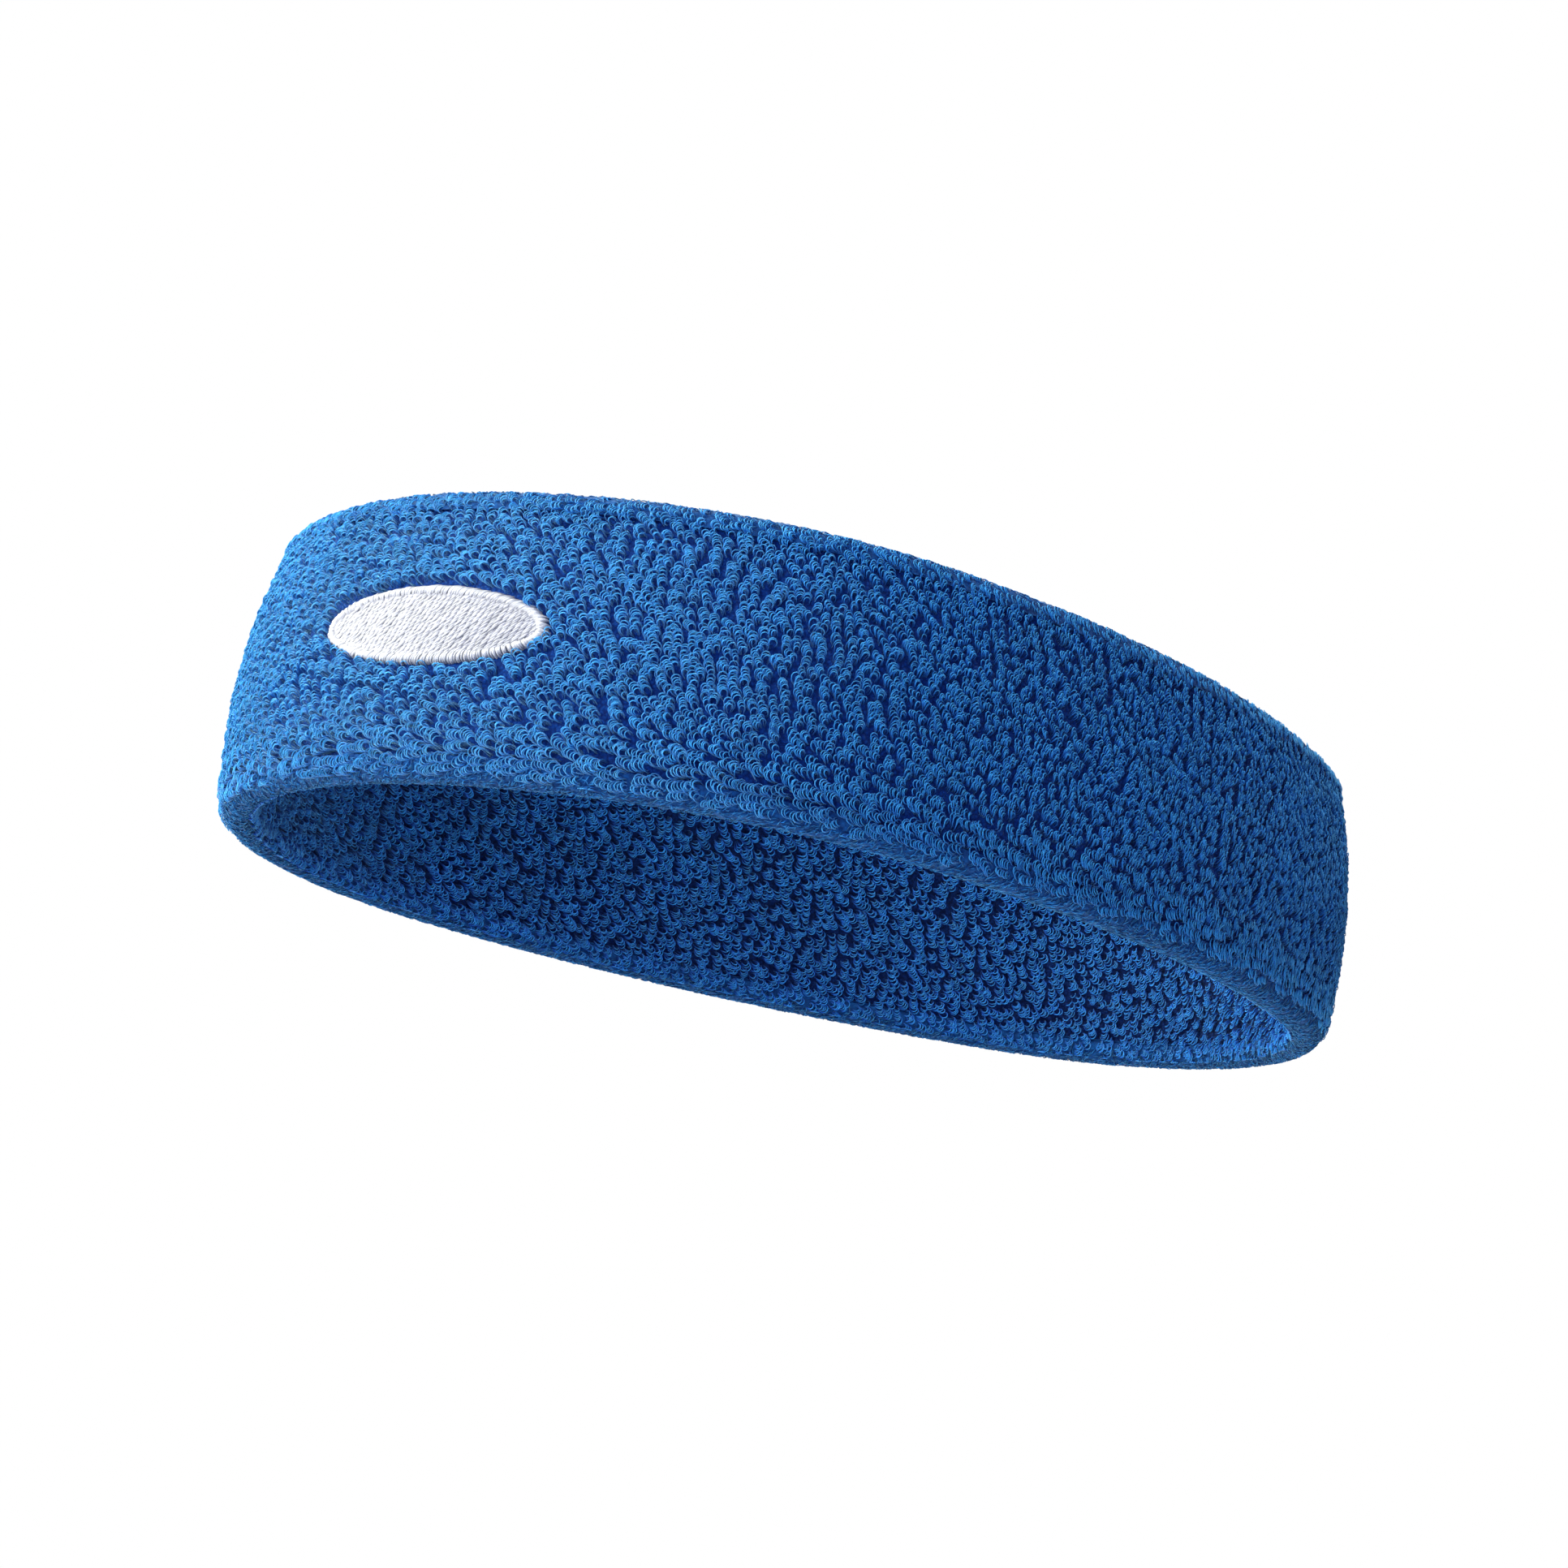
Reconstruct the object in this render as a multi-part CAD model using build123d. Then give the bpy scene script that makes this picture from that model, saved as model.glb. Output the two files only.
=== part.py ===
from build123d import *
import os
from math import atan2, cos, degrees, radians, sin, tan

# Sports headband: a doubled tube of terry knit, shaped as it sits on a head.
# Frame: front of the head towards -Y, wearer's left towards +X, up +Z.
# The origin is at the middle of the lower edge. All sizes are in millimetres.

# Overall sizes, over the pile at half height.
band_length = 209.0  # front to back
band_width = 155.5  # side to side
band_height = 48.0
wall_thickness = 6.0  # two layers of terry, one behind the other
wall_lean = 4.0  # degrees: the band is narrower at the top than at the bottom
wall_bulge = 3.0  # the wall bows outwards at half height

# Oval seen from above: front, side and back arcs that meet tangentially.
side_bow = 33.0  # how far a side arc as long as the band would bow out in its middle
side_centre_y = -22.3  # the widest place is this far ahead of the middle

# Clearances.
fit_gap = 0.1  # between pieces that touch in the real band
layer_gap = 0.8  # between the backs of the two knits
yarn_gap = 0.05  # around an elastic yarn in its channel

# Ground knits.
knit_thickness = 0.7

# Folds.
fold_turn = 1.2  # thickness at the turn
fold_inset = 0.5  # a fold has no pile, so it is set back from the pile's face
fold_corner = 1.7
lower_fold_height = 3.4
upper_fold_height = 3.0

# Pile.
course_pitch = 1.6  # height of one course of loops
course_bulge = 0.3  # each course stands out this far beyond the groove below it
pile_corner = 1.6

# Elastic yarns.
yarn_count = 14  # in each layer
yarn_radius = 0.25
yarn_depth = 0.2  # from the back of the knit to a yarn's centre
yarn_margin = 2.0  # from the knit's edge to the first yarn

# Closing seam.
seam_radius = 0.35

# Embroidered emblem: a plain oval, a little to the wearer's left of the front.
emblem_length = 42.0
emblem_height = 13.0
emblem_direction = -68.0  # degrees from +X towards +Y
emblem_centre_z = 24.5
border_width = 1.6
border_rise = 0.3  # from the filling's face up to the border's
fill_thickness = 0.7
underlay_thickness = 0.25
underlay_inset = 0.6
backing_thickness = 0.15
backing_margin = 2.5
bobbin_thickness = 0.15
emblem_gap = 0.25  # from the emblem to the pile around it

# Distances outwards from the middle of the wall.
wall_half = wall_thickness / 2
knit_back = layer_gap / 2
knit_face = knit_back + knit_thickness
pile_back = knit_face + fit_gap
fold_half = wall_half - fold_inset
fold_inside = knit_face + fit_gap
yarn_centre = knit_back + yarn_depth
seam_centre = pile_back + seam_radius
lean_shift = tan(radians(wall_lean)) * band_height / 2

# Heights.
knit_bottom = fold_turn + fit_gap
knit_top = band_height - fold_turn - fit_gap
pile_bottom = lower_fold_height + fit_gap
pile_top = band_height - upper_fold_height - fit_gap
first_yarn_z = knit_bottom + yarn_margin
yarn_pitch = (knit_top - knit_bottom - 2 * yarn_margin) / (yarn_count - 1)
yarn_heights = [first_yarn_z + yarn_pitch * step for step in range(yarn_count)]
seam_z = pile_bottom + seam_radius

# Layers of the emblem, as distances outwards from the middle of the wall.
underlay_back = knit_face + fit_gap
underlay_face = underlay_back + underlay_thickness
fill_back = underlay_face + fit_gap
fill_face = fill_back + fill_thickness
border_face = fill_face + border_rise
backing_face = knit_back - fit_gap
backing_back = backing_face - backing_thickness
bobbin_face = backing_back - fit_gap
bobbin_back = bobbin_face - bobbin_thickness

# Arcs of the oval, along the middle of the wall at half height.
half_length = band_length / 2 - wall_half
half_width = band_width / 2 - wall_half
side_radius = ((band_length / 2) ** 2 + side_bow**2) / (2 * side_bow)
side_mid_radius = side_radius - wall_half
side_centre_x = side_mid_radius - half_width


def end_radius(reach):
    """Radius of an end arc that is tangent to both side arcs."""
    chord = side_centre_x**2 + reach**2 - side_mid_radius**2
    return chord / (2 * (reach - side_mid_radius))


front_radius = end_radius(half_length + side_centre_y)
back_radius = end_radius(half_length - side_centre_y)
front_centre_y = front_radius - half_length
back_centre_y = half_length - back_radius
front_turn = degrees(atan2(front_centre_y - side_centre_y, side_centre_x))
back_turn = degrees(atan2(back_centre_y - side_centre_y, side_centre_x))
side_span = back_turn - front_turn

# Centre x, centre y, radius, start angle and span in degrees.
front_arc = (0, front_centre_y, front_radius, -180 - front_turn, 180 + 2 * front_turn)
left_arc = (-side_centre_x, side_centre_y, side_mid_radius, front_turn, side_span)
back_arc = (0, back_centre_y, back_radius, back_turn, 180 - 2 * back_turn)
right_arc = (side_centre_x, side_centre_y, side_mid_radius, 180 - back_turn, side_span)
oval = [front_arc, left_arc, back_arc, right_arc]


def shaped(u, z):
    """Place of a section point once the wall leans inwards and bows outwards."""
    rise = (z - band_height / 2) / (band_height / 2)
    return (u - lean_shift * rise - wall_bulge * rise**2, z)


def bowed(start, end):
    """Edge between two section points that follows the bow of the wall."""
    middle = ((start[0] + end[0]) / 2, (start[1] + end[1]) / 2)
    return ThreePointArc(shaped(*start), shaped(*middle), shaped(*end))


def box_section(inner, outer, low, high):
    """Section of a plain layer between two distances and two heights."""
    edges = [
        bowed((outer, low), (outer, high)),
        Line(shaped(outer, high), shaped(inner, high)),
        bowed((inner, high), (inner, low)),
        Line(shaped(inner, low), shaped(outer, low)),
    ]
    return make_face(edges)


def turned(section, arc):
    """Solid swept by a section about the upright axis of one arc."""
    centre_x, centre_y, radius, start, span = arc
    outwards = (cos(radians(start)), sin(radians(start)), 0)
    across = (sin(radians(start)), -cos(radians(start)), 0)
    plane = Plane(origin=(centre_x, centre_y, 0), x_dir=outwards, z_dir=across)
    axis = Axis((centre_x, centre_y, 0), (0, 0, 1))
    return revolve(plane * (Pos(radius, 0) * section), axis, span)


def ring(section):
    """Closed band with the given section along the whole oval."""
    turns = [turned(section, arc) for arc in oval]
    return turns[0].fuse(*turns[1:])


def knit_section(side):
    """Ground knit with an open channel at its back for each elastic yarn."""
    section = box_section(side * knit_back, side * knit_face, knit_bottom, knit_top)
    channel = Circle(yarn_radius + yarn_gap)
    return section - [Pos(*shaped(side * yarn_centre, z)) * channel for z in yarn_heights]


def yarn_rings(side):
    """All the elastic yarns of one layer, each a closed ring."""
    places = [Pos(*shaped(side * yarn_centre, z)) for z in yarn_heights]
    return Compound([ring(place * Circle(yarn_radius)) for place in places])


def fold_section(turn_z, end_z):
    """Folded edge that wraps the ends of both knits, open towards end_z."""
    inside_z = turn_z + (fold_turn if end_z > turn_z else -fold_turn)
    corners = [
        (fold_half, turn_z),
        (fold_half, end_z),
        (fold_inside, end_z),
        (fold_inside, inside_z),
        (-fold_inside, inside_z),
        (-fold_inside, end_z),
        (-fold_half, end_z),
        (-fold_half, turn_z),
    ]
    section = make_face(Polyline([shaped(*corner) for corner in corners], close=True))
    outer_corners = section.vertices().sort_by(lambda v: abs(v.Y - turn_z))[:2]
    return fillet(outer_corners, fold_corner)


def pile_section(side):
    """Looped pile: one bulge per course, rounded off at the top and bottom."""
    groove = side * (wall_half - course_bulge)
    crest = side * wall_half
    inner = side * pile_back
    brow = side * (wall_half - course_bulge - pile_corner * 0.8)
    quarter = side * (wall_half - course_bulge - pile_corner * 0.2)
    low, high = pile_bottom + pile_corner, pile_top - pile_corner
    count = round((high - low) / course_pitch)
    steps = [low + (high - low) * step / count for step in range(count + 1)]
    edges = [
        ThreePointArc(shaped(groove, a), shaped(crest, (a + b) / 2), shaped(groove, b))
        for a, b in zip(steps, steps[1:])
    ]
    edges += [
        ThreePointArc(
            shaped(groove, high),
            shaped(quarter, pile_top - 0.35 * pile_corner),
            shaped(brow, pile_top),
        ),
        Line(shaped(brow, pile_top), shaped(inner, pile_top)),
        bowed((inner, pile_top), (inner, pile_bottom)),
        Line(shaped(inner, pile_bottom), shaped(brow, pile_bottom)),
        ThreePointArc(
            shaped(brow, pile_bottom),
            shaped(quarter, pile_bottom + 0.35 * pile_corner),
            shaped(groove, low),
        ),
    ]
    return make_face(edges)


def oval_prism(inset):
    """Prism through the wall with the emblem's outline, made smaller by inset."""
    facing = radians(emblem_direction)
    outwards = (cos(facing), sin(facing), 0)
    origin = (
        front_radius * outwards[0],
        front_centre_y + front_radius * outwards[1],
        emblem_centre_z,
    )
    plane = Plane(origin=origin, x_dir=(-sin(facing), cos(facing), 0), z_dir=outwards)
    outline = Ellipse(emblem_length / 2 - inset, emblem_height / 2 - inset)
    return extrude(plane * outline, amount=wall_thickness * 2, both=True)


def emblem_layer(inner, outer):
    """Curved plate around the emblem's place, between two distances in the wall."""
    reach = emblem_height / 2 + 2 * backing_margin
    spread = 2 * degrees((emblem_length / 2 + 3 * backing_margin) / front_radius)
    arc = (0, front_centre_y, front_radius, emblem_direction - spread / 2, spread)
    low, high = emblem_centre_z - reach, emblem_centre_z + reach
    return turned(box_section(inner, outer, low, high), arc)


def save(name, shape):
    """Write one sub-part."""
    export_step(shape, f"parts/{name}.step")


seam_place = Pos(*shaped(-seam_centre, seam_z))
seam_room_side = 2 * (seam_radius + fit_gap)
seam_room = seam_place * Rectangle(seam_room_side, seam_room_side)
border_inset = border_width + fit_gap

os.makedirs("parts", exist_ok=True)
save("outer_terry_pile", ring(pile_section(1)) - oval_prism(-emblem_gap))
save("inner_terry_pile", ring(pile_section(-1) - seam_room))
save("outer_ground_knit", ring(knit_section(1)))
save("inner_ground_knit", ring(knit_section(-1)))
save("outer_elastic_yarns", yarn_rings(1))
save("inner_elastic_yarns", yarn_rings(-1))
save("lower_fold", ring(fold_section(0, lower_fold_height)))
save("upper_fold", ring(fold_section(band_height, band_height - upper_fold_height)))
save("closing_seam_thread", ring(seam_place * Circle(seam_radius)))

border_plate = emblem_layer(pile_back, border_face) & oval_prism(0)
save("emblem_border", border_plate - oval_prism(border_width))
save("emblem_fill", emblem_layer(fill_back, fill_face) & oval_prism(border_inset))
underlay_outline = oval_prism(border_inset + underlay_inset)
save("emblem_underlay", emblem_layer(underlay_back, underlay_face) & underlay_outline)
backing_outline = oval_prism(-backing_margin)
save("emblem_backing", emblem_layer(backing_back, backing_face) & backing_outline)
save("emblem_bobbin_thread", emblem_layer(bobbin_back, bobbin_face) & oval_prism(0))
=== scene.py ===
import math

import bpy
import numpy as np
from mathutils import Matrix, Vector


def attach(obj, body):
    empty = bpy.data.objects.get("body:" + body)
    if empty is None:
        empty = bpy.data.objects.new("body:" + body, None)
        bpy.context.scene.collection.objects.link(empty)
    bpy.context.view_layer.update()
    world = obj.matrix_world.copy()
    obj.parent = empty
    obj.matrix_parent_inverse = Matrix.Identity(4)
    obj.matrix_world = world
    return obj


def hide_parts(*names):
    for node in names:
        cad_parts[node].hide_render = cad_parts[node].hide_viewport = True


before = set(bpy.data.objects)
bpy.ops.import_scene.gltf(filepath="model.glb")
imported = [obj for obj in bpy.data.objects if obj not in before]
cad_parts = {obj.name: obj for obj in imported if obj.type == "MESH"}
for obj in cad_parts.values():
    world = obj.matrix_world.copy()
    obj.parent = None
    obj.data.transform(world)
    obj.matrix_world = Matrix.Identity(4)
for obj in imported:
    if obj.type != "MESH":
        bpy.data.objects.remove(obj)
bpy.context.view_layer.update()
MM = 0.001

# The band's own sizes, in millimetres and degrees, as in the CAD source.
LENGTH, WIDTH, HEIGHT, THICK = 209.0, 155.5, 48.0, 6.0
LEAN, BULGE = 4.0, 3.0
SIDE_BOW, SIDE_Y = 33.0, -22.3
EMBLEM_A, EMBLEM_B = 21.0, 6.5
EMBLEM_DIR, EMBLEM_Z = -68.0, 24.5
SIDE_R = ((LENGTH / 2) ** 2 + SIDE_BOW**2) / (2 * SIDE_BOW)
LEAN_SHIFT = math.tan(math.radians(LEAN)) * HEIGHT / 2

# The cloth, in millimetres.
KNIT_FACE = 1.1  # from the middle of the wall to the face of a knit
KNIT_LOW, KNIT_HIGH = 2.2, 46.0
FOLD_HALF, FOLD_HEIGHT = 2.45, 3.6  # half the thickness of a fold, and how far it reaches from its edge
FOLD_ROUND = 0.55  # at 1 the turn of a fold would be an ellipse, and below 1 it is fuller
PILE_TOP = 46.9  # height of the highest course of loops
EDGE_MARGIN = 0.45  # loops keep this far from the upper and lower edges
EDGE_PROUD = 0.95  # loops stand out this far from the face of a fold at most
EDGE_WANDER = 1.1  # about half of what the lowest loops climb from the front to the back

# The strands: radii in millimetres, and sides of the tubes they are made of.
LOOP_RADIUS, FIBRE_RADIUS, THREAD_RADIUS = 0.1, 0.11, 0.2
LOOP_SIDES, THREAD_SIDES = 3, 6
LOOPS_KEPT = 0.92  # share of the loops that are not left out at random
TINT_TOP, TINT_STRIP = 0.98, 0.012  # highest tint of a strand, and how much of the tint ramp it takes up
MAX_TRIANGLES = 180_000  # in one mesh of strands

MIX_A, MIX_B, MIX_OUT = 6, 7, 2  # colour sockets of a mix node


# ---------------------------------------------------------------- the oval
def make_oval():
    """Centre, radius, start and end angle of each arc, from the middle of the front by the wearer's left."""
    half_l, half_w = LENGTH / 2 - THICK / 2, WIDTH / 2 - THICK / 2
    r = SIDE_R - THICK / 2
    cx = r - half_w

    def end(reach):
        return (cx * cx + reach * reach - r * r) / (2 * (reach - r))

    rf, rb = end(half_l + SIDE_Y), end(half_l - SIDE_Y)
    yf, yb = rf - half_l, half_l - rb
    tf, tb = math.atan2(yf - SIDE_Y, cx), math.atan2(yb - SIDE_Y, cx)
    q = math.pi / 2
    return [
        (0, yf, rf, -q, tf),
        (-cx, SIDE_Y, r, tf, tb),
        (0, yb, rb, tb, 2 * q - tb),
        (cx, SIDE_Y, r, 2 * q - tb, 2 * q - tf),
        (0, yf, rf, 2 * q - tf, 3 * q),
    ]


OVAL = make_oval()
ARC_STARTS = np.cumsum([0] + [a[2] * (a[4] - a[3]) for a in OVAL])
GIRTH = float(ARC_STARTS[-1])
FRONT_R = OVAL[0][2]
EMBLEM_S = FRONT_R * math.radians(EMBLEM_DIR + 90)


def oval(s):
    """Point and outward normal at arc length s along the middle of the wall."""
    s = np.mod(s, GIRTH)
    k = np.clip(np.searchsorted(ARC_STARTS, s, side="right") - 1, 0, len(OVAL) - 1)
    arcs = np.array(OVAL)[k]
    t = arcs[..., 3] + (s - ARC_STARTS[k]) / arcs[..., 2]
    n = np.stack([np.cos(t), np.sin(t)], -1)
    return arcs[..., :2] + arcs[..., 2:3] * n, n


def shift(z):
    """How far outwards the lean and the bow of the wall carry it at a height."""
    rise = (z - HEIGHT / 2) / (HEIGHT / 2)
    return -LEAN_SHIFT * rise - BULGE * rise**2


def wall(s, z, u):
    """Place in space of a point at arc length s, height z and distance u outwards, in millimetres."""
    p, n = oval(s)
    xy = p + n * (u + shift(z))[..., None]
    return np.concatenate([xy, (z + 0 * xy[..., 0])[..., None]], -1)


# ---------------------------------------------------------------- meshes
def make_mesh(name, verts, faces, uv, material, node, slot):
    """Mesh object from arrays: verts in millimetres, faces of four corners, one uv for each corner."""
    me = bpy.data.meshes.new(name)
    me.vertices.add(len(verts))
    me.vertices.foreach_set("co", (verts * MM).astype(np.float32).ravel())
    me.loops.add(faces.size)
    me.loops.foreach_set("vertex_index", faces.astype(np.int32).ravel())
    me.polygons.add(len(faces))
    me.polygons.foreach_set("loop_start", np.arange(0, faces.size, 4, dtype=np.int32))
    me.polygons.foreach_set("use_smooth", np.ones(len(faces), bool))
    layer = me.uv_layers.new(name="OFBake")
    layer.uv.foreach_set("vector", uv.astype(np.float32).ravel())
    me.update(calc_edges=True)
    me.validate()
    me.materials.append(material)
    ob = bpy.data.objects.new(name, me)
    bpy.context.scene.collection.objects.link(ob)
    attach(ob, "root")
    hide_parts(node)
    return ob


def tubes(points, side, radius, tint, sides):
    """Strands as tubes, from points (strands x points x 3) and a radius for each of them.

    Each strand also has a vector across it and a tint.
    """
    count, length, _ = points.shape
    tint = np.clip(tint, 0, TINT_TOP)
    along = np.gradient(points, axis=1)
    along /= np.linalg.norm(along, axis=2, keepdims=True) + 1e-12
    b = side[:, None, :] - (side[:, None, :] * along).sum(2, keepdims=True) * along
    b /= np.linalg.norm(b, axis=2, keepdims=True) + 1e-12
    c = np.cross(along, b)
    turn = 2 * math.pi * np.arange(sides) / sides
    rings = (
        points[:, :, None, :]
        + radius[:, :, None, None] * np.cos(turn)[:, None] * b[:, :, None, :]
        + radius[:, :, None, None] * np.sin(turn)[:, None] * c[:, :, None, :]
    )
    verts = rings.reshape(-1, 3)
    i, j, k = np.meshgrid(
        np.arange(count), np.arange(length - 1), np.arange(sides), indexing="ij"
    )
    k1 = (k + 1) % sides
    base = (i * length + j) * sides
    faces = np.stack([base + k, base + k1, base + sides + k1, base + sides + k], -1)
    u0, u1 = j / (length - 1), (j + 1) / (length - 1)
    v0 = tint[i] + TINT_STRIP * k / sides
    v1 = tint[i] + TINT_STRIP * (k + 1) / sides
    uv = np.stack([np.stack(corner, -1) for corner in ((u0, v0), (u0, v1), (u1, v1), (u1, v0))], -2)
    margin = 0.01
    uv = margin + (1 - 2 * margin) * uv
    return verts, faces.reshape(-1, 4), uv.reshape(-1, 2)


def grid_mesh(points, flip):
    """Closed band of faces from points round the band by points across it."""
    rows, cols = points.shape[:2]
    i, j = np.meshgrid(np.arange(rows), np.arange(cols - 1), indexing="ij")
    i1 = (i + 1) % rows
    corners = [i * cols + j, i1 * cols + j, i1 * cols + j + 1, i * cols + j + 1]
    places = [(i, j), (i + 1, j), (i + 1, j + 1), (i, j + 1)]
    if flip:
        corners, places = corners[::-1], places[::-1]
    uv = np.stack([np.stack([a / rows, b / (cols - 1)], -1) for a, b in places], -2)
    return points.reshape(-1, 3), np.stack(corners, -1).reshape(-1, 4), uv.reshape(-1, 2)


# ---------------------------------------------------------------- materials
def new_material(name):
    """New material, its nodes and links, and its shader."""
    mat = bpy.data.materials.new(name)
    mat.use_nodes = True
    nodes, links = mat.node_tree.nodes, mat.node_tree.links
    return mat, nodes, links, nodes["Principled BSDF"]


def ramp(nodes, stops):
    """Colour ramp from (position, colour) stops."""
    node = nodes.new("ShaderNodeValToRGB")
    node.color_ramp.elements[0].position = stops[0][0]
    node.color_ramp.elements[0].color = (*stops[0][1], 1)
    node.color_ramp.elements[1].position = stops[-1][0]
    node.color_ramp.elements[1].color = (*stops[-1][1], 1)
    for at, colour in stops[1:-1]:
        node.color_ramp.elements.new(at).color = (*colour, 1)
    return node


def yarn_material(name, root, middle, tip, darkest, rough, sheen, sheen_tint):
    """Yarn coloured from the roots of a strand to its tip, darker towards both roots as painted shade and
    lighter at the head as a painted highlight; darkest is the tone of its darkest strands.
    """
    mat, nodes, links, shader = new_material(name)
    uv = nodes.new("ShaderNodeUVMap")
    uv.uv_map = "OFBake"
    parts = nodes.new("ShaderNodeSeparateXYZ")
    links.new(uv.outputs["UV"], parts.inputs[0])
    # Painted shade and highlight along each strand: dark at both roots, where the legs sink into the pile,
    # and lightest at the head.
    along = ramp(nodes, [(0.0, root), (0.22, middle), (0.5, tip), (0.78, middle), (1.0, root)])
    links.new(parts.outputs["X"], along.inputs["Fac"])
    tint = ramp(nodes, [(0.0, (darkest,) * 3), (1.0, (1.0,) * 3)])
    links.new(parts.outputs["Y"], tint.inputs["Fac"])
    mix = nodes.new("ShaderNodeMix")
    mix.data_type, mix.blend_type = "RGBA", "MULTIPLY"
    mix.inputs["Factor"].default_value = 1.0
    links.new(along.outputs["Color"], mix.inputs[MIX_A])
    links.new(tint.outputs["Color"], mix.inputs[MIX_B])
    links.new(mix.outputs[MIX_OUT], shader.inputs["Base Color"])
    where = nodes.new("ShaderNodeTexCoord")
    fibre = nodes.new("ShaderNodeTexNoise")
    fibre.inputs["Scale"].default_value = 6500.0
    fibre.inputs["Detail"].default_value = 1.0
    links.new(where.outputs["Object"], fibre.inputs["Vector"])
    bump = nodes.new("ShaderNodeBump")
    bump.inputs["Strength"].default_value = 0.35
    bump.inputs["Distance"].default_value = 0.00004
    links.new(fibre.outputs["Fac"], bump.inputs["Height"])
    links.new(bump.outputs["Normal"], shader.inputs["Normal"])
    shader.inputs["Roughness"].default_value = rough
    shader.inputs["Specular IOR Level"].default_value = 0.2
    shader.inputs["Sheen Weight"].default_value = sheen
    shader.inputs["Sheen Roughness"].default_value = 0.35
    shader.inputs["Sheen Tint"].default_value = (*sheen_tint, 1)
    return mat


def knit_material(name, groove_shade, crest, pitch):
    """Close stitches in colour and bump, one pitch apart in metres, with fuzz over them; the grooves between
    them are painted darker as shade.
    """
    mat, nodes, links, shader = new_material(name)
    where = nodes.new("ShaderNodeTexCoord")
    cells = nodes.new("ShaderNodeTexVoronoi")
    cells.inputs["Scale"].default_value = 1 / pitch
    links.new(where.outputs["Object"], cells.inputs["Vector"])
    fuzz = nodes.new("ShaderNodeTexNoise")
    fuzz.inputs["Scale"].default_value = 3.0 / pitch
    fuzz.inputs["Detail"].default_value = 3.0
    links.new(where.outputs["Object"], fuzz.inputs["Vector"])
    # Painted shade: the grooves between stitches are coloured darker than their crests.
    colour = ramp(nodes, [(0.1, crest), (0.75, groove_shade)])
    links.new(cells.outputs["Distance"], colour.inputs["Fac"])
    mix = nodes.new("ShaderNodeMix")
    mix.data_type, mix.blend_type = "RGBA", "OVERLAY"
    mix.inputs["Factor"].default_value = 0.5
    links.new(colour.outputs["Color"], mix.inputs[MIX_A])
    links.new(fuzz.outputs["Fac"], mix.inputs[MIX_B])
    links.new(mix.outputs[MIX_OUT], shader.inputs["Base Color"])
    bump = nodes.new("ShaderNodeBump")
    bump.inputs["Strength"].default_value = 0.8
    bump.inputs["Distance"].default_value = 0.0003
    bump.invert = True
    links.new(cells.outputs["Distance"], bump.inputs["Height"])
    fine = nodes.new("ShaderNodeBump")
    fine.inputs["Strength"].default_value = 0.5
    fine.inputs["Distance"].default_value = 0.0001
    links.new(fuzz.outputs["Fac"], fine.inputs["Height"])
    links.new(bump.outputs["Normal"], fine.inputs["Normal"])
    links.new(fine.outputs["Normal"], shader.inputs["Normal"])
    shader.inputs["Roughness"].default_value = 0.9
    shader.inputs["Specular IOR Level"].default_value = 0.15
    shader.inputs["Sheen Weight"].default_value = 0.25
    shader.inputs["Sheen Tint"].default_value = (0.4, 0.65, 1.0, 1)
    return mat


BLUE_SHEEN = (0.35, 0.8, 1.0)
WHITE_SHEEN = (1.0, 1.0, 1.0)
outer_terry = yarn_material(
    "outer_terry_yarn",
    root=(0.003, 0.028, 0.17),
    middle=(0.011, 0.163, 0.56),
    tip=(0.050, 0.42, 0.84),
    darkest=0.6,
    rough=0.65,
    sheen=0.7,
    sheen_tint=BLUE_SHEEN,
)
# The inner face has the outer yarn with darker roots and darker strands, as painted shade inside the band,
# and brighter heads, as a painted highlight.
inner_terry = yarn_material(
    "inner_terry_yarn",
    root=(0.001, 0.012, 0.09),
    middle=(0.008, 0.110, 0.58),
    tip=(0.040, 0.39, 0.96),
    darkest=0.5,
    rough=0.65,
    sheen=0.5,
    sheen_tint=BLUE_SHEEN,
)
fold_yarn = yarn_material(
    "fold_yarn",
    root=(0.001, 0.03, 0.15),
    middle=(0.007, 0.14, 0.48),
    tip=(0.024, 0.29, 0.70),
    darkest=0.25,
    rough=0.65,
    sheen=0.4,
    sheen_tint=BLUE_SHEEN,
)
# The white thread is darker towards both ends of a stitch, where it sinks into the cloth: painted shade.
thread_white = yarn_material(
    "emblem_thread",
    root=(0.34, 0.34, 0.36),
    middle=(0.54, 0.54, 0.55),
    tip=(0.66, 0.66, 0.66),
    darkest=0.72,
    rough=0.5,
    sheen=0.1,
    sheen_tint=WHITE_SHEEN,
)
FINE_PITCH, KNIT_PITCH = 0.0006, 0.0009
# The loops' legs and the ground knit are the same yarn as the loops, coloured much darker: painted shade
# between the heads and under the pile. The inner legs are darker still: painted shade inside the band.
outer_legs = knit_material("outer_loop_legs", (0.002, 0.022, 0.13), (0.004, 0.065, 0.30), FINE_PITCH)
inner_legs = knit_material("inner_loop_legs", (0.001, 0.009, 0.055), (0.002, 0.027, 0.155), FINE_PITCH)
ground = knit_material("ground_knit", (0.001, 0.010, 0.06), (0.002, 0.03, 0.15), KNIT_PITCH)
fold_knit = knit_material("fold_knit", (0.002, 0.035, 0.14), (0.004, 0.08, 0.27), KNIT_PITCH)
# The emblem's ground is greyer than its white thread: painted shade between the stitches.
white_knit = knit_material("emblem_ground", (0.25, 0.26, 0.28), (0.42, 0.42, 0.44), FINE_PITCH)


# ---------------------------------------------------------------- loops
HEAD_TURN = np.radians(np.arange(-108, 109, 36))  # round the head of a loop, from leg to leg


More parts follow.
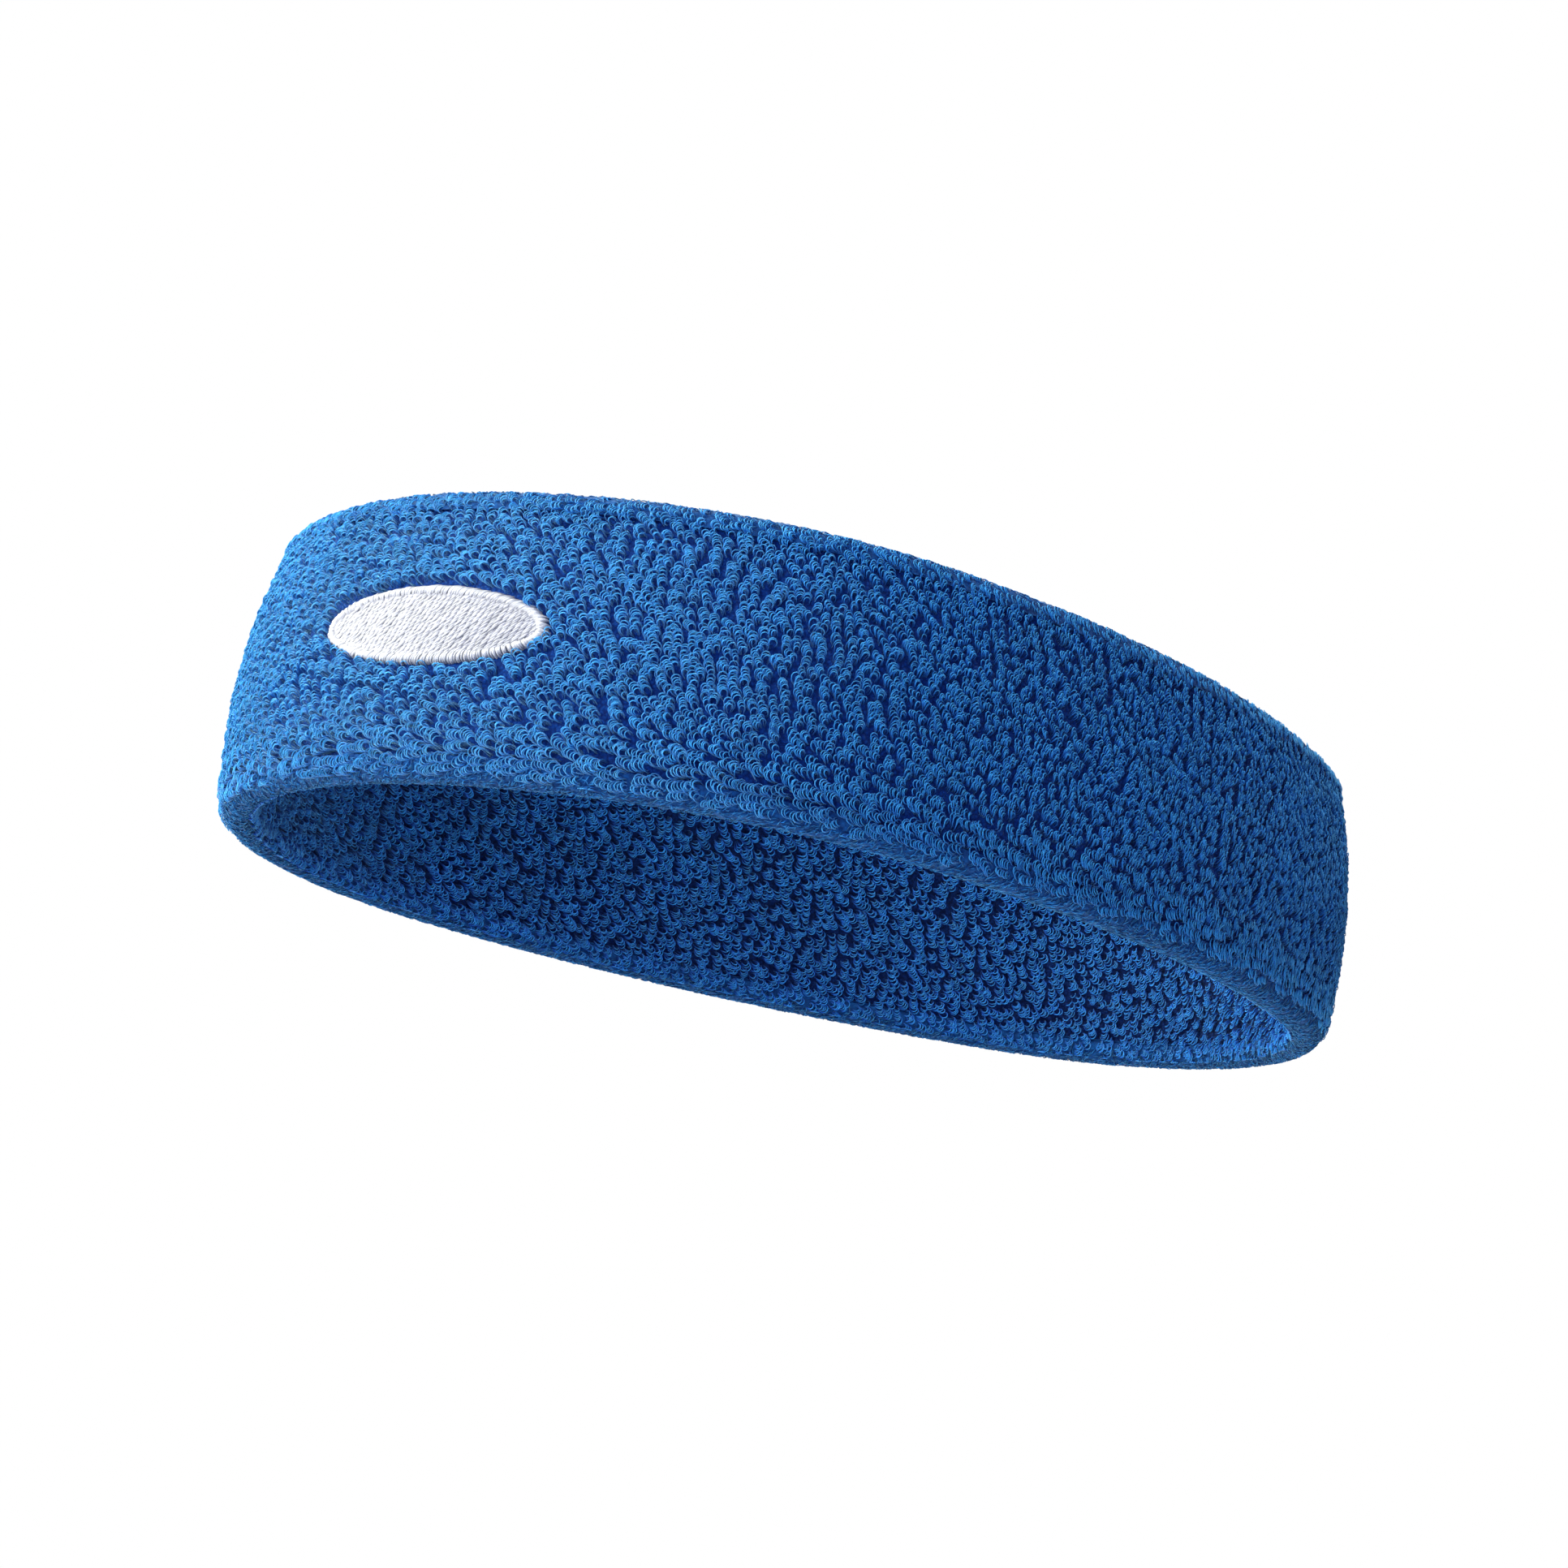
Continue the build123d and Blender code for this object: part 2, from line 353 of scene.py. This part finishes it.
def waves(seed, x, y, scale_x, scale_y):
    """Smooth, repeatable unevenness, mostly between -1 and 1: sines along and up the band."""
    r = np.random.default_rng(seed)
    total = np.zeros(np.broadcast(x, y).shape)
    sines, level = 6, 3.2
    for _ in range(sines):
        fx, fy, phase = r.normal(0, 1 / scale_x), r.normal(0, 1 / scale_y), r.uniform(0, 2 * math.pi)
        total = total + np.sin(2 * math.pi * (fx * x + fy * y) + phase)
    return total / level


def fold_reach(z):
    """Distance from the middle of the wall to the face of either fold, at a height."""
    rest = np.clip(np.minimum(z, HEIGHT - z), 0, FOLD_HEIGHT)
    return FOLD_HALF * np.sqrt(1 - ((FOLD_HEIGHT - rest) / FOLD_HEIGHT) ** (2 / FOLD_ROUND))


def root_depth(z):
    """How far out a loop is rooted: on the knit, or just inside the face of a fold near an edge."""
    half_blend, sunk = 0.8, 0.15
    rest = np.minimum(z, HEIGHT - z)
    on_knit = np.clip((rest - FOLD_HEIGHT + half_blend) / (2 * half_blend), 0, 1)
    return KNIT_FACE * on_knit + (fold_reach(z) - sunk) * (1 - on_knit)


def tuft_places(r, low, high, course, wale, seed):
    """Middles of the tufts, in courses one above the other and in paired wales that wander a little."""
    columns = round(GIRTH / wale)
    rows = round((high - low) / course) + 1
    column, row = (a.ravel() for a in np.meshgrid(np.arange(columns), np.arange(rows), indexing="ij"))
    z = low + row * (high - low) / max(rows - 1, 1)
    s = (column + 0.5) * GIRTH / columns
    pairing, unevenness, wander, lift = 0.12, 0.07, 1.6, 0.25
    pairs = pairing * np.where(column % 2 == 0, 1, -1)
    s = s + pairs + r.normal(0, unevenness, columns)[column] + wander * waves(seed, s, z, 55.0, 22.0)
    z = z + r.uniform(-0.5, 0.5, columns)[column] * course + lift * waves(seed + 1, s, z, 14.0, 14.0)
    return s + r.normal(0, 0.36, len(s)), z + r.normal(0, 0.32, len(s))


def off_emblem(s, z, margin):
    """Whether places lie outside the emblem's outline, made larger by a margin."""
    return ((s - EMBLEM_S) / (EMBLEM_A + margin)) ** 2 + ((z - EMBLEM_Z) / (EMBLEM_B + margin)) ** 2 > 1


def loops(r, side, tufts, step, count):
    """Points along loops of yarn and their tints: in each tuft, loops one inside the next, a step apart."""
    k = np.arange(count)[None, :]
    shape = (len(tufts["s"]), count)

    def each(name, spread):
        return tufts[name][:, None] + r.normal(0, spread, shape)

    heading = each("heading", 0.12)
    back = k * step
    at_root, at_tip = 0.45, 0.55
    s = each("s", 0.08) - at_root * back * np.cos(heading)
    z = each("z", 0.08) - at_root * back * np.sin(heading)
    reach = each("reach", 0.08) - at_tip * back
    rise = each("rise", 0.07) * (1 + 0.04 * k)
    width, tint = each("width", 0.08) * (1 - 0.05 * k), each("tint", 0.09)
    keep = r.random(shape) < LOOPS_KEPT
    tip_s, tip_z = s + reach * np.cos(heading), z + reach * np.sin(heading)
    if side > 0:
        keep &= off_emblem(s, z, 0.35) & off_emblem(tip_s, tip_z, -0.2)
    every = (s, z, heading, reach, rise, width, tint)
    s, z, heading, reach, rise, width, tint = (a[keep][:, None] for a in every)
    head = width / 2
    n = len(s)
    across = np.concatenate([-0.45 * head, head * np.sin(HEAD_TURN), 0.45 * head], 1)
    forward = np.concatenate([0 * head, (reach - head) + head * np.cos(HEAD_TURN), 0 * head], 1)
    forward = np.maximum(forward, 0) + 0.1 * r.normal(0, 1, (n, 1)) * across
    steepness, tilt = 2.2, 0.16
    out = rise * (1 - (1 - np.clip(forward / reach, 0, 1)) ** steepness) - tilt * across * side
    out[:, [0, -1]] = 0
    ps = s + forward * np.cos(heading) + across * np.sin(heading)
    pz = z + forward * np.sin(heading) - across * np.cos(heading)
    pz = np.clip(pz, EDGE_MARGIN, HEIGHT - EDGE_MARGIN)
    depth = np.minimum(root_depth(z) + out, fold_reach(pz) + EDGE_PROUD)
    return wall(ps, pz, side * depth), tint[:, 0]


def strand_mesh(points, radius, tint, name, node, slot, material):
    """Strands of yarn as meshes, one for each sector of the band."""
    chord = points[:, -2] - points[:, 1]
    middle = points.shape[1] // 2
    bow = points[:, middle] - (points[:, 1] + points[:, -2]) / 2
    across = np.cross(chord, bow)
    turn = np.arctan2(points[:, middle, 1], points[:, middle, 0]) / (2 * math.pi) % 1
    order = np.argsort(turn)
    triangles = len(order) * (points.shape[1] - 1) * LOOP_SIDES * 2
    share = math.ceil(len(order) / math.ceil(triangles / MAX_TRIANGLES))
    for k, first in enumerate(range(0, len(order), share)):
        here = order[first : first + share]
        mesh = tubes(points[here], across[here], radius[here], tint[here], LOOP_SIDES)
        make_mesh(f"{name}_{k + 1}", *mesh, material, node, slot)


def tuft_shapes(r, s, z, heading, reach, rise, width, seed):
    """Place and shape of each tuft, with its own small unevenness."""
    n = len(s)
    tint = 0.5 + 0.13 * waves(seed, s, z, 14, 14) + r.normal(0, 0.12, n)
    return {
        "s": s,
        "z": z,
        "heading": heading + r.normal(0, 0.22, n) + 0.2 * waves(seed + 1, s, z, 35, 25),
        "reach": reach * (1 + r.normal(0, 0.10, n)),
        "rise": rise * (1 + r.normal(0, 0.06, n)),
        "width": width * (1 + r.normal(0, 0.10, n)),
        "tint": tint,
    }


def near_edges(z, plain, at_edge):
    """A size that is plain in the middle of the wall and goes over to another near both edges."""
    first, fade = 1.5, 3.5
    share = np.clip((np.minimum(z, HEIGHT - z) - first) / fade, 0, 1)
    return at_edge + (plain - at_edge) * share


def laid_over(z):
    """How far the heads near the top are turned to lie along the edge, in radians."""
    start, fade, most = 43.5, 3, 0.9
    return most * np.clip((z - start) / fade, 0, 1)


def joined_sets(sets):
    """Points and tints of several sets of loops as one."""
    return np.concatenate([a[0] for a in sets]), np.concatenate([a[1] for a in sets])


BODY_LOW = 8.0  # height of the lowest plain course on the outer face

# Courses of longer loops below it, over the edge: height, reach, width, and how far they are laid over.
EDGE_COURSES = (
    (6.4, 2.6, 1.9, 0.75),
    (4.6, 2.8, 1.9, 1.15),
    (2.8, 2.6, 1.8, 1.25),
    (1.2, 2.2, 1.5, 1.3),
)
EDGE_WALE = 2.6
EDGE_FACE = 2.85  # their heads lie this far from the middle of the wall at most


def outer_pile():
    """Loops of the outer face, with courses of longer ones laid over the lower edge."""
    r = np.random.default_rng(20)
    s, z = tuft_places(r, BODY_LOW, PILE_TOP, course=1.33, wale=1.78, seed=51)
    turned = 0.9 * np.exp(-(z - BODY_LOW) / 2.6) + laid_over(z)
    heading = math.radians(122) + turned
    reach, rise = near_edges(z, 1.7, 1.2), near_edges(z, 1.65, 0.6)
    body = tuft_shapes(r, s, z, heading, reach, rise, width=1.38, seed=52)
    sets = [loops(r, 1, body, step=0.36, count=4)]
    for height, reach, width, lying in EDGE_COURSES:
        s, z = tuft_places(r, height, height, course=0.7, wale=EDGE_WALE, seed=60)
        z = z + EDGE_WANDER * (1 - np.cos(2 * math.pi * s / GIRTH)) * (1 - height / BODY_LOW)
        rise = np.minimum(EDGE_FACE, fold_reach(z) + 0.9) - root_depth(z)
        braid = tuft_shapes(r, s, z, math.radians(105) + lying, reach, rise, width, seed=62)
        sets.append(loops(r, 1, braid, step=0.42, count=6))
    return joined_sets(sets)


def inner_pile():
    """Loops of the inner face, laid over near both edges."""
    r = np.random.default_rng(21)
    s, z = tuft_places(r, 0.9, PILE_TOP, course=1.5, wale=2.0, seed=71)
    turned = laid_over(z) + 0.45 * np.clip((4 - z) / 3, 0, 1)
    heading = math.radians(-125) - turned
    reach, rise = near_edges(z, 1.75, 1.3), near_edges(z, 1.75, 1.05)
    body = tuft_shapes(r, s, z, heading, reach, rise, width=1.45, seed=72)
    return loops(r, -1, body, step=0.38, count=4)


for (points, tint), face, terry in (
    (outer_pile(), "outer", outer_terry),
    (inner_pile(), "inner", inner_terry),
):
    thickness = 1 + np.random.default_rng(22).normal(0, 0.08, len(tint))
    radius = LOOP_RADIUS * thickness[:, None] * np.ones(points.shape[1])
    strand_mesh(points, radius, tint, f"{face}_loops", f"{face}_terry_pile", "terry", terry)


def pile_bed(side, seed):
    """Packed legs of the loops, seen between their heads: a lumpy sheet that meets the knit at its rims."""
    low, high = (3.2, 46.2) if side > 0 else (1.6, 46.2)
    step, rows, rim_width = 0.85, 70, 1.5
    ss, zz = np.meshgrid(np.arange(0, GIRTH, step), np.linspace(low, high, rows), indexing="ij")
    r = np.random.default_rng(seed)
    lumps = 0.16 * waves(seed, ss, zz, 2.2, 2.2) + 0.12 * r.normal(0, 1, ss.shape)
    top = np.maximum(KNIT_FACE + 0.3, root_depth(zz) + 0.05) + lumps
    rim = np.clip(np.minimum(zz - low, high - zz) / rim_width, 0, 1)
    out = side * (KNIT_FACE * (1 - rim) + top * rim)
    return grid_mesh(wall(ss, zz, out), side < 0)


make_mesh("outer_loop_legs", *pile_bed(1, 81), outer_legs, "outer_terry_pile", "terry")
make_mesh("inner_loop_legs", *pile_bed(-1, 82), inner_legs, "inner_terry_pile", "terry")


# ---------------------------------------------------------------- knits and folds
AROUND = np.arange(0, GIRTH, GIRTH / 560)


def knit(side, name, node):
    """Face of one ground knit, as a sheet held round the band."""
    heights = np.linspace(KNIT_LOW, KNIT_HIGH, 26)
    ss, zz = np.meshgrid(AROUND, heights, indexing="ij")
    face = grid_mesh(wall(ss, zz, side * KNIT_FACE), side < 0)
    made = make_mesh(name, *face, ground, node, "ground_knit")


knit(1, "outer_knit", "outer_ground_knit")
knit(-1, "inner_knit", "inner_ground_knit")


def fold_point(share):
    """Distance and height on the lower fold, from its inside face at 0 to its outside face at 1."""
    t = share * math.pi
    return -FOLD_HALF * np.cos(t), FOLD_HEIGHT * (1 - np.sin(t) ** FOLD_ROUND)


def fold_mesh(bottom, seed):
    """Face of a fold, a little swollen here and there."""
    share = np.linspace(0, 1, 25)
    ss, tt = np.meshgrid(np.arange(0, GIRTH, 0.7), share, indexing="ij")
    u, z = fold_point(tt)
    r = np.random.default_rng(seed)
    lumps = 0.05 * waves(seed, ss, 20 * tt, 4, 4) + 0.03 * r.normal(0, 1, ss.shape)
    swell = 1 + lumps * np.sin(math.pi * tt)
    u = u * swell
    z = FOLD_HEIGHT - (FOLD_HEIGHT - z) * swell
    return grid_mesh(wall(ss, z if bottom else HEIGHT - z, u), not bottom)


def fold_fibres(bottom, count, seed):
    """Short fibres matted on a fold, most of them slanting the same way."""
    r = np.random.default_rng(seed)
    s = r.uniform(0, GIRTH, count)
    share = r.uniform(0.08, 0.97, count)
    slant = r.normal(0.7, 0.55, count)
    long = r.uniform(0.8, 2.0, count)
    bend = r.normal(0, 0.25, count)
    length, face_width = 5, 9.0
    t = np.linspace(-0.5, 0.5, length)[None, :]
    along = long[:, None] * t
    aside = bend[:, None] * (1 - 4 * t**2)
    ps = s[:, None] + along * np.cos(slant)[:, None] - aside * np.sin(slant)[:, None]
    over = along * np.sin(slant)[:, None] + aside * np.cos(slant)[:, None]
    u, z = fold_point(np.clip(share[:, None] + over / face_width, 0.01, 0.99))
    proud = 0.08 + 0.22 * r.random(count)[:, None] * (1 - 4 * t**2)
    size = np.hypot(u, FOLD_HEIGHT - z)
    u, z = u * (1 + proud / size), z - (FOLD_HEIGHT - z) * proud / size
    points = wall(ps, z if bottom else HEIGHT - z, u)
    taper = np.sin(np.linspace(0.5, math.pi - 0.4, length))
    radius = FIBRE_RADIUS * taper[None, :] * np.ones((count, 1))
    # Fibres are darker the nearer they lie to the inner face of the fold: painted shade inside the band.
    return points, radius, r.normal(0.45, 0.22, count) + 0.6 * (np.minimum(share, 0.6) - 0.6)


for label, bottom, count in (("lower", True, 11500), ("upper", False, 3500)):
    make_mesh(f"{label}_fold_knit", *fold_mesh(bottom, 31), fold_knit, f"{label}_fold", "fold_knit")
    points, radius, tint = fold_fibres(bottom, count, 33)
    strand_mesh(points, radius, tint, f"{label}_fold_fibres", f"{label}_fold", "fold_knit", fold_yarn)


# ---------------------------------------------------------------- emblem
def emblem_border():
    """Satin stitches across the rim, a little uneven at both ends."""
    n, length, skew, width = 300, 8, 0.02, 1.7
    r = np.random.default_rng(41)
    a = np.linspace(0, 2 * math.pi, n, endpoint=False)
    t = np.linspace(0, 1, length)
    inner = np.stack([(EMBLEM_A - width) * np.cos(a + skew), (EMBLEM_B - width) * np.sin(a + skew)], -1)
    outer = np.stack([EMBLEM_A * np.cos(a - skew), EMBLEM_B * np.sin(a - skew)], -1)
    outer = outer * (1 + r.normal(0, 0.012, (n, 1)))
    inner = inner + r.normal(0, 0.08, inner.shape)
    flat = inner[:, None] * (1 - t)[None, :, None] + outer[:, None] * t[None, :, None]
    foot, rise = 1.6, 0.95
    u = foot + rise * np.sin(np.pi * t) ** 0.5 + r.normal(0, 0.04, (n, 1))
    points = wall(EMBLEM_S + flat[..., 0], EMBLEM_Z + flat[..., 1], u)
    middle = points[:, length // 2]
    radius = THREAD_RADIUS * np.ones((n, length)) * (1 + r.normal(0, 0.08, (n, 1)))
    return tubes(points, np.roll(middle, -1, axis=0) - middle, radius, r.normal(0.6, 0.25, n), THREAD_SIDES)


def emblem_filling():
    """Short stitches in slanting rows, each row set off from the last."""
    r = np.random.default_rng(42)
    slant = math.radians(40)
    d = np.array([math.cos(slant), math.sin(slant)])
    e = np.array([-math.sin(slant), math.cos(slant)])
    inset, stitch, row_pitch, shortest = 1.3, 1.9, 0.32, 0.5
    half_a, half_b = EMBLEM_A - inset, EMBLEM_B - inset
    stitches = []
    for row, k in enumerate(np.arange(-16, 16, row_pitch)):
        o = e * k
        qa = (d[0] / half_a) ** 2 + (d[1] / half_b) ** 2
        qb = 2 * (o[0] * d[0] / half_a**2 + o[1] * d[1] / half_b**2)
        qc = (o[0] / half_a) ** 2 + (o[1] / half_b) ** 2 - 1
        room = qb * qb - 4 * qa * qc
        if room <= 0:
            continue
        low, high = (-qb - math.sqrt(room)) / (2 * qa), (-qb + math.sqrt(room)) / (2 * qa)
        holes = np.arange(-24, 24, stitch) + (row % 3) * stitch / 3 + r.normal(0, 0.12)
        cuts = [low] + [x for x in holes if low + shortest < x < high - shortest] + [high]
        stitches += [(*o, x0, x1) for x0, x1 in zip(cuts, cuts[1:])]
    stitches = np.array(stitches)
    n, length = len(stitches), 7
    middle = length // 2
    t = np.linspace(0, 1, length)
    x = stitches[:, 2:3] * (1 - t) + stitches[:, 3:4] * t
    flat = stitches[:, None, :2] + d * x[..., None] + r.normal(0, 0.025, (n, 1, 2))
    foot, rise = 2.0, 0.24
    u = foot + rise * np.sin(np.pi * t) ** 0.5 + r.normal(0, 0.05, (n, 1))
    points = wall(EMBLEM_S + flat[..., 0], EMBLEM_Z + flat[..., 1], u)
    beside_s, beside_z = EMBLEM_S + flat[:, middle, 0] + e[0], EMBLEM_Z + flat[:, middle, 1] + e[1]
    side = wall(beside_s, beside_z, u[:, middle]) - points[:, middle]
    radius = THREAD_RADIUS * np.ones((n, length)) * (1 + r.normal(0, 0.1, (n, 1)))
    return tubes(points, side, radius, r.normal(0.5, 0.3, n), THREAD_SIDES)


def emblem_ground():
    """Oval cushion below the stitches, sunk at its rim, as spokes of faces from the middle outwards."""
    a = np.linspace(0, 2 * math.pi, 72, endpoint=False)
    rr = np.array([0.0, 0.25, 0.5, 0.75, 0.93, 0.99])
    aa, rad = np.meshgrid(a, rr, indexing="ij")
    u = np.where(rad > 0.95, 1.4, 2.15)
    ss, zz = EMBLEM_S + EMBLEM_A * rad * np.cos(aa), EMBLEM_Z + EMBLEM_B * rad * np.sin(aa)
    rows, cols = aa.shape
    i, j = np.meshgrid(np.arange(rows), np.arange(cols - 1), indexing="ij")
    i1 = (i + 1) % rows
    faces = np.stack([i * cols + j, i * cols + j + 1, i1 * cols + j + 1, i1 * cols + j], -1).reshape(-1, 4)
    uv = np.stack([aa.ravel() / 6.3, rad.ravel()], -1)[faces]
    behind = uv[..., 0] + 0.5 < uv[..., 0].max(axis=1, keepdims=True)
    uv[..., 0] += np.where(behind, 1.0, 0.0)
    return wall(ss, zz, u).reshape(-1, 3), faces, uv.reshape(-1, 2)


make_mesh("emblem_border_stitches", *emblem_border(), thread_white, "emblem_border", "emblem_thread")
make_mesh("emblem_fill_stitches", *emblem_filling(), thread_white, "emblem_fill", "emblem_thread")
make_mesh("emblem_ground", *emblem_ground(), white_knit, "emblem_underlay", "emblem_thread")


# ---------------------------------------------------------------- hidden CAD pieces
for name, material in (
    ("outer_elastic_yarns", fold_knit),
    ("inner_elastic_yarns", fold_knit),
    ("closing_seam_thread", fold_knit),
    ("emblem_backing", white_knit),
    ("emblem_bobbin_thread", white_knit),
):
    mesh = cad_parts[name].data
    mesh.materials.clear()
    mesh.materials.append(material)


# ---------------------------------------------------------------- room, light, camera
def flat_material(name, colour, rough):
    """Material of one colour."""
    mat, _, _, shader = new_material(name)
    shader.inputs["Base Color"].default_value = (*colour, 1)
    shader.inputs["Roughness"].default_value = rough
    return mat


bpy.ops.mesh.primitive_plane_add(size=30, location=(0, 0, -0.55))
floor = bpy.context.object
floor.name = "floor"
floor.data.materials.append(flat_material("floor_paper", (0.86, 0.88, 0.92), 0.9))

# The camera: angles in degrees, distance in metres, lens and sensor in millimetres.
CAM_AZ, CAM_EL, CAM_ROLL, CAM_DIST = 55.75, -12.459, -9.366, 0.7581
CAM_SENSOR, CAM_LENS = 36, 100.71242236
CAM_SHIFT_X, CAM_SHIFT_Y = -0.0220315735, 0.0121206004  # in widths of the picture
centre = Vector((0, 0, HEIGHT / 2 * MM))
az, el, roll = math.radians(CAM_AZ), math.radians(CAM_EL), math.radians(CAM_ROLL)
back = Vector((math.sin(az) * math.cos(el), -math.cos(az) * math.cos(el), math.sin(el)))
right = (-back).cross(Vector((0, 0, 1))).normalized()
up = right.cross(-back)
cam_right = right * math.cos(roll) - up * math.sin(roll)
cam_up = right * math.sin(roll) + up * math.cos(roll)
camera = bpy.data.objects.new("camera", bpy.data.cameras.new("camera"))
bpy.context.scene.collection.objects.link(camera)
rotation = Matrix((cam_right, cam_up, back)).transposed()
camera.matrix_world = Matrix.Translation(centre + back * CAM_DIST) @ rotation.to_4x4()
camera.data.sensor_width, camera.data.lens = CAM_SENSOR, CAM_LENS
camera.data.shift_x, camera.data.shift_y = CAM_SHIFT_X, CAM_SHIFT_Y
camera.data.clip_start, camera.data.clip_end = 0.01, 50
bpy.context.scene.camera = camera


def area_light(name, x, y, z, size, power, colour):
    """Soft light at x to the camera's right, y above it and z towards it, in metres from the band."""
    place = centre + cam_right * x + cam_up * y + back * z
    light = bpy.data.lights.new(name, "AREA")
    light.shape, light.size, light.energy, light.color = "DISK", size, power, colour
    ob = bpy.data.objects.new(name, light)
    bpy.context.scene.collection.objects.link(ob)
    aim = (centre - place).to_track_quat("-Z", "Y").to_matrix().to_4x4()
    ob.matrix_world = Matrix.Translation(place) @ aim


area_light("key", -0.9, 0.5, 0.3, 0.5, 12.5, (1.0, 1.0, 0.95))
area_light("side", -0.6, 0.8, 1.0, 0.5, 5.5, (1.0, 1.0, 1.0))
area_light("rim", -0.9, 0.8, -0.4, 0.5, 20.0, (1.0, 1.0, 0.72))
area_light("back", -0.1, 0.5, -1.3, 0.6, 7.0, (1.0, 1.0, 1.0))
area_light("top", 0.0, 1.2, 0.2, 0.5, 9.0, (0.9, 0.97, 0.9))
area_light("front", -0.2, 0.35, 1.45, 0.5, 5.6, (0.3, 0.36, 1.0))
area_light("right", 0.9, 0.1, 0.9, 0.5, 0.6, (0.3, 0.36, 1.0))

ceiling = bpy.data.lights.new("ceiling", "SUN")
ceiling.energy, ceiling.angle, ceiling.color = 0.9, 1.2, (0.76, 0.86, 1.0)
bpy.context.scene.collection.objects.link(bpy.data.objects.new("ceiling", ceiling))

# The camera sees plain white behind the floor, and the band is lit by a dim blue sky.
world = bpy.data.worlds.new("room")
bpy.context.scene.world = world
world.use_nodes = True
tree = world.node_tree
sky = tree.nodes["Background"]
seen = tree.nodes.new("ShaderNodeBackground")
seen.inputs["Color"].default_value = (1, 1, 1, 1)
seen.inputs["Strength"].default_value = 1.0
sky.inputs["Color"].default_value = (0.36, 0.42, 1.0, 1)
sky.inputs["Strength"].default_value = 0.06
path = tree.nodes.new("ShaderNodeLightPath")
both = tree.nodes.new("ShaderNodeMixShader")
tree.links.new(path.outputs["Is Camera Ray"], both.inputs[0])
tree.links.new(sky.outputs[0], both.inputs[1])
tree.links.new(seen.outputs[0], both.inputs[2])
tree.links.new(both.outputs[0], tree.nodes["World Output"].inputs["Surface"])
bpy.context.scene.view_settings.view_transform = "Standard"
